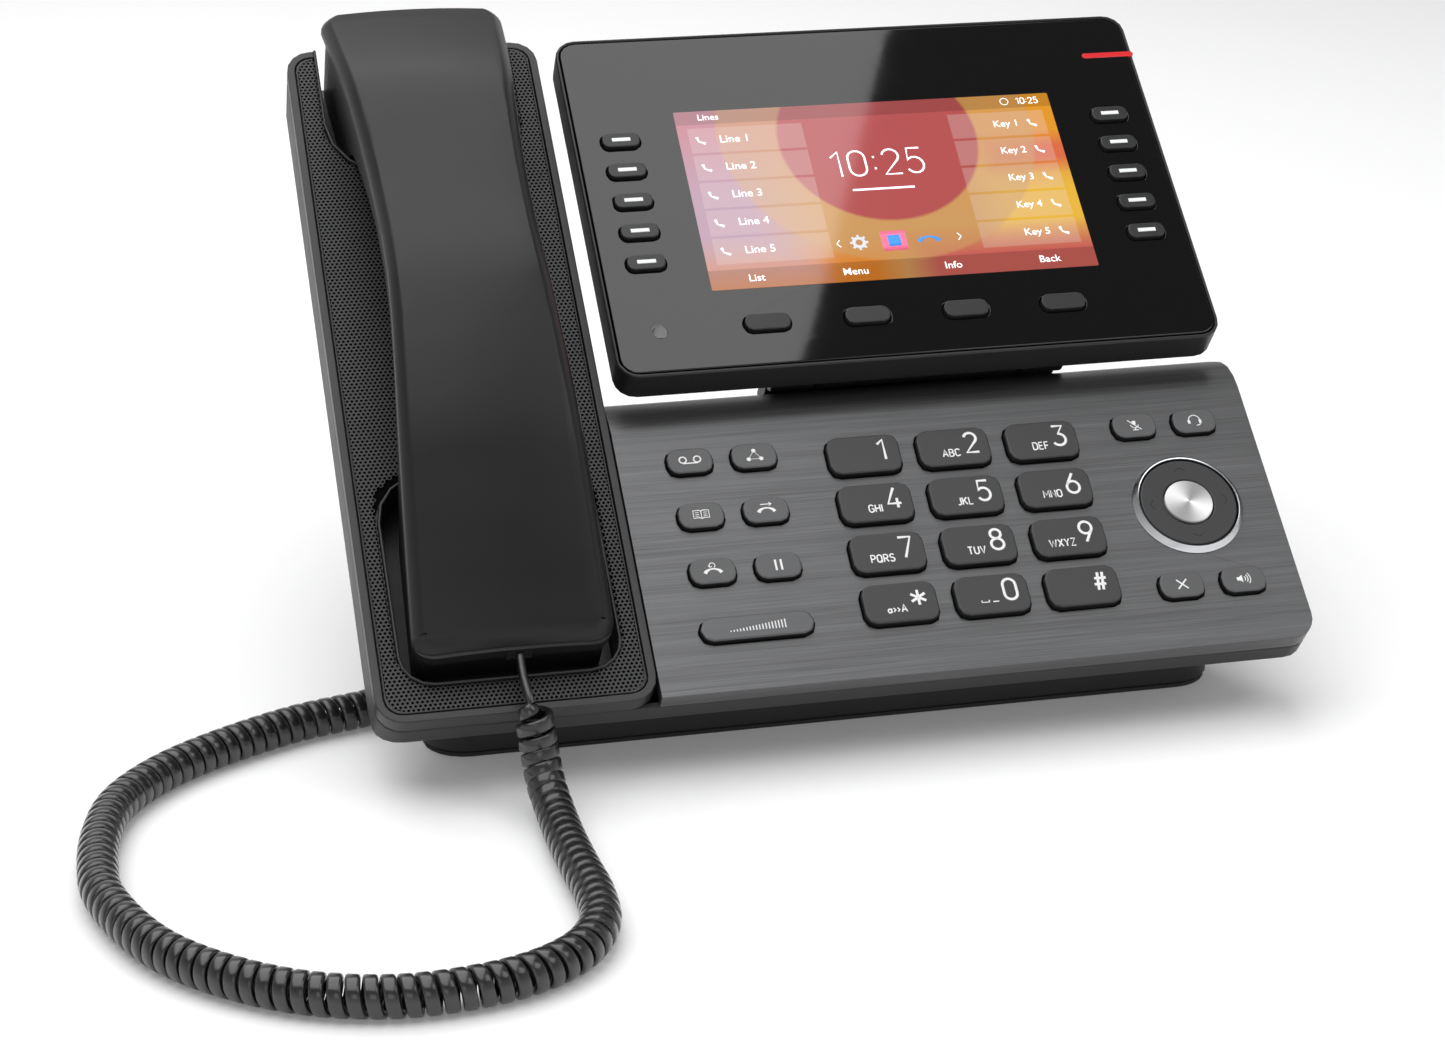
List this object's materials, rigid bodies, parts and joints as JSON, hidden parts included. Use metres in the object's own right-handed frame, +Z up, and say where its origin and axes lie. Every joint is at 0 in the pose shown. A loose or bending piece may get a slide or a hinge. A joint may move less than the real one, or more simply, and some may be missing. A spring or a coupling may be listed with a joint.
{
  "type": "desk ip phone",
  "caption": "Desk phone: sloped slab on a stand, corded handset in a perforated speaker cradle, tilting colour display, keypad with navigation ring.",
  "frame": {"origin": "on the desk surface, under the middle of the phone without its free cord", "axes": "+X to the user's right along the front edge, +Y away from the user, +Z up"},
  "size_m": [0.3245, 0.2899, 0.1678],
  "materials": {
    "housing": "fine matt texture",
    "cradle": "satin, moulded",
    "grille": "perforated, fine satin coat",
    "driver": "stamped steel basket with paper cone",
    "hook": "satin",
    "panel": "brushed along its width, dark anodised",
    "board": "green solder mask",
    "digit_key": "fine matt with white legends",
    "function_key": "fine matt with white icons",
    "display_key": "fine matt",
    "nav_ring": "satin with a bright metal trim",
    "ok_button": "radially brushed",
    "neck": "fine matt texture",
    "pin": "ground",
    "display_shell": "satin",
    "glass": "black gloss",
    "lcd": "lit colour screen",
    "handset": "soft satin",
    "handset_inner": "fine matt",
    "plug": "clear smoked",
    "cord": "glossy coiled jacket",
    "stand": "matt moulded",
    "sole": "matt rubber"
  },
  "bodies": {
    "base": {"base_housing": "housing", "cradle_frame": "cradle", "speaker_grille": "grille", "speaker_driver": "driver", "keypad_panel": "panel", "main_board": "board", "neck_bracket": "neck", "hinge_pin": "pin", "stand": "stand", "rubber_sole": "sole", "base_plug": "plug", "cord_coil": "cord", "cord_handset_lead": "cord", "cord_base_lead": "cord"},
    "handset": {"handset_outer_shell": "handset", "handset_inner_shell": "handset_inner", "handset_plug": "plug"},
    "hook_switch": {"hook_switch": "hook"},
    "display": {"display_shell": "display_shell", "display_glass": "glass", "lcd_module": "lcd"},
    "key_1": {"key_1": "digit_key"},
    "key_2": {"key_2": "digit_key"},
    "key_3": {"key_3": "digit_key"},
    "key_4": {"key_4": "digit_key"},
    "key_5": {"key_5": "digit_key"},
    "key_6": {"key_6": "digit_key"},
    "key_7": {"key_7": "digit_key"},
    "key_8": {"key_8": "digit_key"},
    "key_9": {"key_9": "digit_key"},
    "key_star": {"key_star": "digit_key"},
    "key_0": {"key_0": "digit_key"},
    "key_hash": {"key_hash": "digit_key"},
    "key_voicemail": {"key_voicemail": "function_key"},
    "key_conference": {"key_conference": "function_key"},
    "key_directory": {"key_directory": "function_key"},
    "key_transfer": {"key_transfer": "function_key"},
    "key_redial": {"key_redial": "function_key"},
    "key_hold": {"key_hold": "function_key"},
    "key_mute": {"key_mute": "function_key"},
    "key_headset": {"key_headset": "function_key"},
    "key_cancel": {"key_cancel": "function_key"},
    "key_speaker": {"key_speaker": "function_key"},
    "volume_rocker": {"volume_rocker": "function_key"},
    "nav_ring": {"nav_ring": "nav_ring"},
    "nav_ok_button": {"nav_ok_button": "ok_button"},
    "line_key_left_1": {"line_key_left_1": "display_key"},
    "line_key_left_2": {"line_key_left_2": "display_key"},
    "line_key_left_3": {"line_key_left_3": "display_key"},
    "line_key_left_4": {"line_key_left_4": "display_key"},
    "line_key_left_5": {"line_key_left_5": "display_key"},
    "line_key_right_1": {"line_key_right_1": "display_key"},
    "line_key_right_2": {"line_key_right_2": "display_key"},
    "line_key_right_3": {"line_key_right_3": "display_key"},
    "line_key_right_4": {"line_key_right_4": "display_key"},
    "line_key_right_5": {"line_key_right_5": "display_key"},
    "soft_key_1": {"soft_key_1": "display_key"},
    "soft_key_2": {"soft_key_2": "display_key"},
    "soft_key_3": {"soft_key_3": "display_key"},
    "soft_key_4": {"soft_key_4": "display_key"}
  },
  "joints": [
    {"name": "handset_lift", "type": "slide", "parent": "base", "child": "handset", "axis": [0, -0.6074, 0.7944], "range_m": [0, 0.06]},
    {"name": "hook_switch_slide", "type": "slide", "parent": "base", "child": "hook_switch", "axis": [0, -0.6074, 0.7944], "range_m": [0, 0.0024]},
    {"name": "display_tilt", "type": "hinge", "parent": "base", "child": "display", "pos_m": [0.0361, -0.01128, 0.08025], "axis": [1, 0, 0], "range_deg": [0, 20]},
    {"name": "key_1_press", "type": "slide", "parent": "base", "child": "key_1", "axis": [0, 0.6074, -0.7944], "range_m": [0, 0.0012], "stiffness_N_per_m": 300, "springref_m": -0.001},
    {"name": "key_2_press", "type": "slide", "parent": "base", "child": "key_2", "axis": [0, 0.6074, -0.7944], "range_m": [0, 0.0012], "stiffness_N_per_m": 300, "springref_m": -0.001},
    {"name": "key_3_press", "type": "slide", "parent": "base", "child": "key_3", "axis": [0, 0.6074, -0.7944], "range_m": [0, 0.0012], "stiffness_N_per_m": 300, "springref_m": -0.001},
    {"name": "key_4_press", "type": "slide", "parent": "base", "child": "key_4", "axis": [0, 0.6074, -0.7944], "range_m": [0, 0.0012], "stiffness_N_per_m": 300, "springref_m": -0.001},
    {"name": "key_5_press", "type": "slide", "parent": "base", "child": "key_5", "axis": [0, 0.6074, -0.7944], "range_m": [0, 0.0012], "stiffness_N_per_m": 300, "springref_m": -0.001},
    {"name": "key_6_press", "type": "slide", "parent": "base", "child": "key_6", "axis": [0, 0.6074, -0.7944], "range_m": [0, 0.0012], "stiffness_N_per_m": 300, "springref_m": -0.001},
    {"name": "key_7_press", "type": "slide", "parent": "base", "child": "key_7", "axis": [0, 0.6074, -0.7944], "range_m": [0, 0.0012], "stiffness_N_per_m": 300, "springref_m": -0.001},
    {"name": "key_8_press", "type": "slide", "parent": "base", "child": "key_8", "axis": [0, 0.6074, -0.7944], "range_m": [0, 0.0012], "stiffness_N_per_m": 300, "springref_m": -0.001},
    {"name": "key_9_press", "type": "slide", "parent": "base", "child": "key_9", "axis": [0, 0.6074, -0.7944], "range_m": [0, 0.0012], "stiffness_N_per_m": 300, "springref_m": -0.001},
    {"name": "key_star_press", "type": "slide", "parent": "base", "child": "key_star", "axis": [0, 0.6074, -0.7944], "range_m": [0, 0.0012], "stiffness_N_per_m": 300, "springref_m": -0.001},
    {"name": "key_0_press", "type": "slide", "parent": "base", "child": "key_0", "axis": [0, 0.6074, -0.7944], "range_m": [0, 0.0012], "stiffness_N_per_m": 300, "springref_m": -0.001},
    {"name": "key_hash_press", "type": "slide", "parent": "base", "child": "key_hash", "axis": [0, 0.6074, -0.7944], "range_m": [0, 0.0012], "stiffness_N_per_m": 300, "springref_m": -0.001},
    {"name": "key_voicemail_press", "type": "slide", "parent": "base", "child": "key_voicemail", "axis": [0, 0.6074, -0.7944], "range_m": [0, 0.0012], "stiffness_N_per_m": 300, "springref_m": -0.001},
    {"name": "key_conference_press", "type": "slide", "parent": "base", "child": "key_conference", "axis": [0, 0.6074, -0.7944], "range_m": [0, 0.0012], "stiffness_N_per_m": 300, "springref_m": -0.001},
    {"name": "key_directory_press", "type": "slide", "parent": "base", "child": "key_directory", "axis": [0, 0.6074, -0.7944], "range_m": [0, 0.0012], "stiffness_N_per_m": 300, "springref_m": -0.001},
    {"name": "key_transfer_press", "type": "slide", "parent": "base", "child": "key_transfer", "axis": [0, 0.6074, -0.7944], "range_m": [0, 0.0012], "stiffness_N_per_m": 300, "springref_m": -0.001},
    {"name": "key_redial_press", "type": "slide", "parent": "base", "child": "key_redial", "axis": [0, 0.6074, -0.7944], "range_m": [0, 0.0012], "stiffness_N_per_m": 300, "springref_m": -0.001},
    {"name": "key_hold_press", "type": "slide", "parent": "base", "child": "key_hold", "axis": [0, 0.6074, -0.7944], "range_m": [0, 0.0012], "stiffness_N_per_m": 300, "springref_m": -0.001},
    {"name": "key_mute_press", "type": "slide", "parent": "base", "child": "key_mute", "axis": [0, 0.6074, -0.7944], "range_m": [0, 0.0012], "stiffness_N_per_m": 300, "springref_m": -0.001},
    {"name": "key_headset_press", "type": "slide", "parent": "base", "child": "key_headset", "axis": [0, 0.6074, -0.7944], "range_m": [0, 0.0012], "stiffness_N_per_m": 300, "springref_m": -0.001},
    {"name": "key_cancel_press", "type": "slide", "parent": "base", "child": "key_cancel", "axis": [0, 0.6074, -0.7944], "range_m": [0, 0.0012], "stiffness_N_per_m": 300, "springref_m": -0.001},
    {"name": "key_speaker_press", "type": "slide", "parent": "base", "child": "key_speaker", "axis": [0, 0.6074, -0.7944], "range_m": [0, 0.0012], "stiffness_N_per_m": 300, "springref_m": -0.001},
    {"name": "nav_ok_button_press", "type": "slide", "parent": "base", "child": "nav_ok_button", "axis": [0, 0.6074, -0.7944], "range_m": [0, 0.0012], "stiffness_N_per_m": 300, "springref_m": -0.001},
    {"name": "volume_rocker_tilt", "type": "hinge", "parent": "base", "child": "volume_rocker", "pos_m": [-0.02505, -0.07784, 0.03377], "axis": [0, 0.7944, 0.6074], "range_deg": [-2.5, 2.5], "stiffness_Nm_per_rad": 0.5},
    {"name": "nav_ring_tilt", "type": "hinge", "parent": "base", "child": "nav_ring", "pos_m": [0.09955, -0.05718, 0.04957], "axis": [1, 0, 0], "range_deg": [-2.5, 2.5], "stiffness_Nm_per_rad": 0.5},
    {"name": "line_key_left_1_press", "type": "slide", "parent": "display", "child": "line_key_left_1", "axis": [0, 0.6074, -0.7944], "range_m": [0, 0.0009], "stiffness_N_per_m": 300, "springref_m": -0.001},
    {"name": "line_key_left_2_press", "type": "slide", "parent": "display", "child": "line_key_left_2", "axis": [0, 0.6074, -0.7944], "range_m": [0, 0.0009], "stiffness_N_per_m": 300, "springref_m": -0.001},
    {"name": "line_key_left_3_press", "type": "slide", "parent": "display", "child": "line_key_left_3", "axis": [0, 0.6074, -0.7944], "range_m": [0, 0.0009], "stiffness_N_per_m": 300, "springref_m": -0.001},
    {"name": "line_key_left_4_press", "type": "slide", "parent": "display", "child": "line_key_left_4", "axis": [0, 0.6074, -0.7944], "range_m": [0, 0.0009], "stiffness_N_per_m": 300, "springref_m": -0.001},
    {"name": "line_key_left_5_press", "type": "slide", "parent": "display", "child": "line_key_left_5", "axis": [0, 0.6074, -0.7944], "range_m": [0, 0.0009], "stiffness_N_per_m": 300, "springref_m": -0.001},
    {"name": "line_key_right_1_press", "type": "slide", "parent": "display", "child": "line_key_right_1", "axis": [0, 0.6074, -0.7944], "range_m": [0, 0.0009], "stiffness_N_per_m": 300, "springref_m": -0.001},
    {"name": "line_key_right_2_press", "type": "slide", "parent": "display", "child": "line_key_right_2", "axis": [0, 0.6074, -0.7944], "range_m": [0, 0.0009], "stiffness_N_per_m": 300, "springref_m": -0.001},
    {"name": "line_key_right_3_press", "type": "slide", "parent": "display", "child": "line_key_right_3", "axis": [0, 0.6074, -0.7944], "range_m": [0, 0.0009], "stiffness_N_per_m": 300, "springref_m": -0.001},
    {"name": "line_key_right_4_press", "type": "slide", "parent": "display", "child": "line_key_right_4", "axis": [0, 0.6074, -0.7944], "range_m": [0, 0.0009], "stiffness_N_per_m": 300, "springref_m": -0.001},
    {"name": "line_key_right_5_press", "type": "slide", "parent": "display", "child": "line_key_right_5", "axis": [0, 0.6074, -0.7944], "range_m": [0, 0.0009], "stiffness_N_per_m": 300, "springref_m": -0.001},
    {"name": "soft_key_1_press", "type": "slide", "parent": "display", "child": "soft_key_1", "axis": [0, 0.6074, -0.7944], "range_m": [0, 0.0009], "stiffness_N_per_m": 300, "springref_m": -0.001},
    {"name": "soft_key_2_press", "type": "slide", "parent": "display", "child": "soft_key_2", "axis": [0, 0.6074, -0.7944], "range_m": [0, 0.0009], "stiffness_N_per_m": 300, "springref_m": -0.001},
    {"name": "soft_key_3_press", "type": "slide", "parent": "display", "child": "soft_key_3", "axis": [0, 0.6074, -0.7944], "range_m": [0, 0.0009], "stiffness_N_per_m": 300, "springref_m": -0.001},
    {"name": "soft_key_4_press", "type": "slide", "parent": "display", "child": "soft_key_4", "axis": [0, 0.6074, -0.7944], "range_m": [0, 0.0009], "stiffness_N_per_m": 300, "springref_m": -0.001}
  ],
  "couplings": [
    {"joint": "hook_switch_slide", "follows": "handset_lift", "ratio": 0.04}
  ]
}
